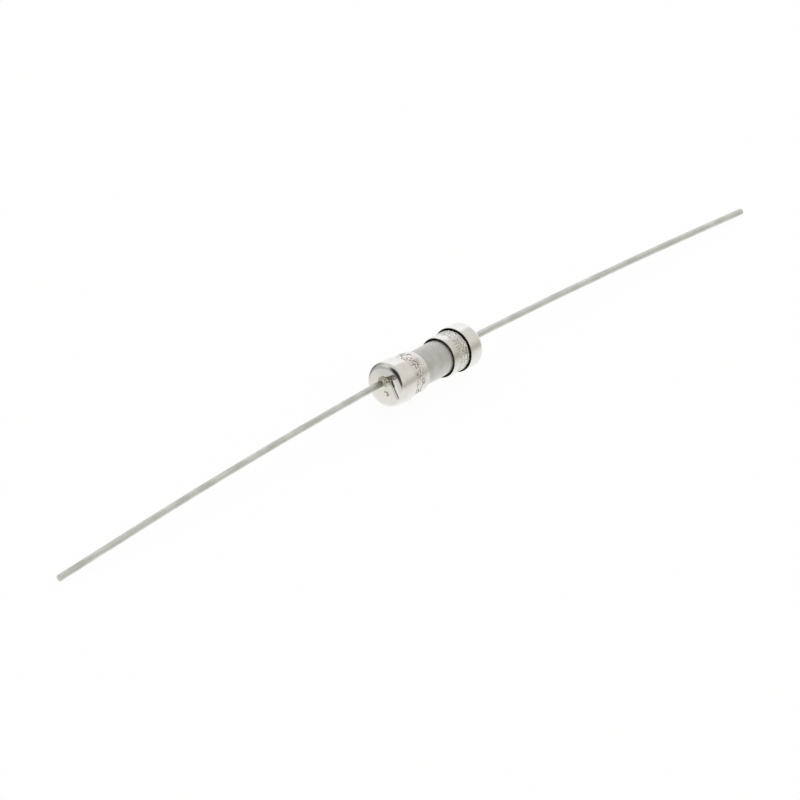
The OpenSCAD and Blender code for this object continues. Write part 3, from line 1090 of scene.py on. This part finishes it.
# %% The patches of the tent, and what the camera sees
# Each patch: its compass angle and height, how far it is full and where it ends, and its level
bright_side = [(33, 28, 12, 26, 1.15), (18, 4, 24, 38, 1.08), (30, -72, 8, 36, 1.2)]
grey_back = [(112, 2, 14, 32, 0.57), (151, -3, 13, 26, 0.55), (62, -9, 4, 18, 0.34),
             (82, 5, 12, 32, 0.22), (92, 26, 5, 22, 0.5)]
dark_opening = [(189, 38, 14, 38, 0.04), (187, 11, 14, 37, 0.04), (176, 3, 8, 22, 0.06)]
patch_tint = (0.99, 0.995, 1.01)
for azimuth, elevation, full, fade, level in bright_side + grey_back + dark_opening:
    light = mix_colours(tree, patch(tree, direction, azimuth, elevation, full, fade), light,
                        [part * level for part in patch_tint])
ray = tree.nodes.new("ShaderNodeLightPath")
seen = mix_colours(tree, ray.outputs["Is Camera Ray"], light, (1.0, 1.0, 1.0))
background = add_node(tree, "ShaderNodeBackground", Color=seen, Strength=1.0)
add_node(tree, "ShaderNodeOutputWorld", Surface=background.outputs[0])
print(f"world: {len(levels)} levels, {len(bright_side + grey_back + dark_opening)} patches")

# %% [markdown]
# ## The table
#
# The table takes the soft shadow of the fuse. To the camera it is nearly all a glow of plain
# white with a thin share of real white paint, so the shadow stays but is faint. In the metal the
# lower half of the tent stands for the table, so the table itself is hidden from reflections.

# %% The table
table_half = 0.8
mesh = bpy.data.meshes.new("table")
corners = ((-1, -1), (1, -1), (1, 1), (-1, 1))
mesh.from_pydata([(x * table_half, y * table_half, floor_z * MM) for x, y in corners], [],
                 [(0, 1, 2, 3)])
table = new_object("table", mesh)
table.visible_glossy = False
table.visible_diffuse = False

# %% The white of the table
white_table = bpy.data.materials.new("white table")
white_table.use_nodes = True
tree = white_table.node_tree
tree.nodes.clear()
paint = add_node(tree, "ShaderNodeBsdfDiffuse", Color=(0.92, 0.92, 0.9))
thin_paint = add_node(tree, "ShaderNodeBsdfDiffuse", Color=(0.1, 0.1, 0.1))
glow = add_node(tree, "ShaderNodeEmission", Color=(1.0, 1.0, 1.0), Strength=0.93)
both = tree.nodes.new("ShaderNodeAddShader")
feed(tree, both.inputs[0], thin_paint.outputs[0])
feed(tree, both.inputs[1], glow.outputs[0])
ray = tree.nodes.new("ShaderNodeLightPath")
chosen = add_node(tree, "ShaderNodeMixShader", Fac=ray.outputs["Is Camera Ray"])
feed(tree, chosen.inputs[1], paint.outputs[0])
feed(tree, chosen.inputs[2], both.outputs[0])
add_node(tree, "ShaderNodeOutputMaterial", Surface=chosen.outputs[0])
mesh.materials.append(white_table)
print(f"table at z = {floor_z:.2f}")

# %% [markdown]
# ## The camera
#
# The fuse is seen from above its left-hand end with a long lens, which keeps the two leads almost
# the same thickness. The aim is a point just beside the fuse, and the picture is rolled slightly.

# %% The camera
view_azimuth = math.radians(-53.651)
view_elevation = math.radians(25.175)
view_roll = math.radians(1.765)
view_distance = 464.79
view_aim = Vector((-2.043, 0.810, -2.478))
picture_px = 800
focal_px = 6117.1

camera_data = bpy.data.cameras.new("camera")
camera_data.sensor_width = 36.0
camera_data.lens = focal_px / picture_px * camera_data.sensor_width
camera = new_object("camera", camera_data)
turn = (Matrix.Rotation(view_azimuth, 4, "Z")
        @ Matrix.Rotation(math.pi / 2 - view_elevation, 4, "X")
        @ Matrix.Rotation(view_roll, 4, "Z"))
back = turn @ Vector((0, 0, 1))
camera.matrix_world = Matrix.Translation((view_aim + back * view_distance) * MM) @ turn
bpy.context.scene.camera = camera
bpy.context.scene.view_settings.view_transform = "Standard"
print(f"lens {camera_data.lens:.1f} mm, camera at {tuple(round(c, 4) for c in camera.location)}")
